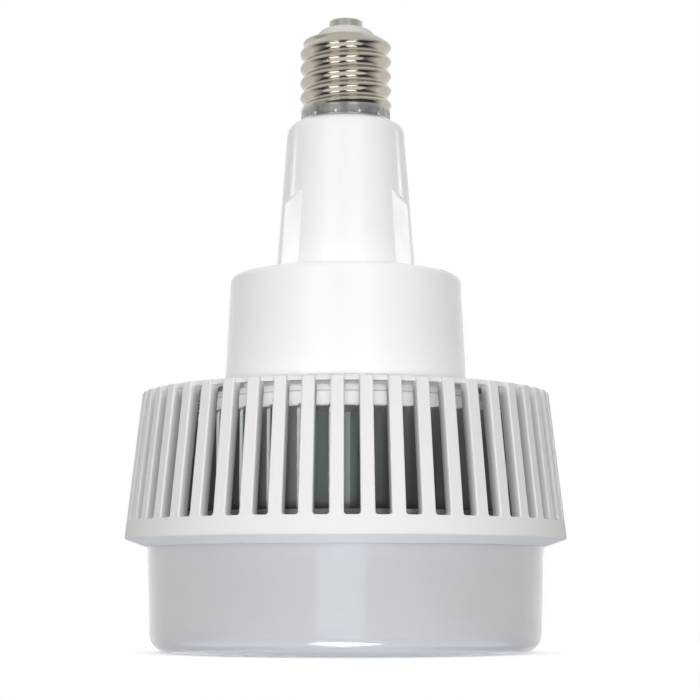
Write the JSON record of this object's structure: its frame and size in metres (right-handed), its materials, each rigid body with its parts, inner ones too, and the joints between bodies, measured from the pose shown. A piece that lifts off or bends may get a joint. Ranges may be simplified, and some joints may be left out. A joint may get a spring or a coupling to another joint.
{
  "type": "led high bay lamp",
  "caption": "High-bay LED lamp with a mogul screw base, tapered neck, driver drum, slatted vented cowl over a finned heat sink, and an opal diffuser cup.",
  "frame": {"origin": "centre of the diffuser's flat face, which the lamp stands on", "axes": "+Z along the lamp's axis towards the screw base, -Y towards the viewer of the picture"},
  "size_m": [0.1834, 0.1834, 0.2678],
  "materials": {
    "nickel_plate": "nickel-plated sheet, bright",
    "pale_insulator": "pale satin moulding",
    "white_moulding": "satin white moulding",
    "zinc_steel": "zinc-plated",
    "cast_aluminium": "bare, dull",
    "grey_pad": "soft silicone sheet",
    "white_board": "white lacquered aluminium",
    "phosphor": "yellow phosphor lens",
    "opal_moulding": "opal, faintly cool, satin gloss",
    "circuit_board": "green lacquer",
    "black_moulding": "black epoxy",
    "enamelled_wire": "enamelled copper",
    "yellow_case": "yellow case",
    "capacitor_sleeve": "dark shrink sleeve",
    "transformer_tape": "yellow tape",
    "black_insulation": "wire insulation",
    "white_insulation": "wire insulation",
    "red_insulation": "wire insulation"
  },
  "bodies": {
    "root": {"centre_contact": "nickel_plate", "base_insulator": "pale_insulator", "screw_shell": "nickel_plate", "neck_housing": "white_moulding", "neck_screws": "zinc_steel", "driver_housing": "white_moulding", "driver_tray": "white_moulding", "housing_screws": "zinc_steel", "vent_cowl": "white_moulding", "heat_sink": "cast_aluminium", "heat_sink_screws": "zinc_steel", "thermal_pad": "grey_pad", "led_board": "white_board", "led_packages": "phosphor", "led_board_screws": "zinc_steel", "diffuser": "opal_moulding", "driver_board": "circuit_board", "driver_board_screws": "zinc_steel", "mains_fuse": "black_moulding", "input_choke": "enamelled_wire", "film_capacitor": "yellow_case", "bridge_rectifier": "black_moulding", "bulk_capacitors": "capacitor_sleeve", "power_transformer": "transformer_tape", "switching_transistor": "black_moulding", "output_capacitor": "capacitor_sleeve", "live_lead": "black_insulation", "neutral_lead": "white_insulation", "led_leads": "red_insulation"}
  },
  "joints": []
}
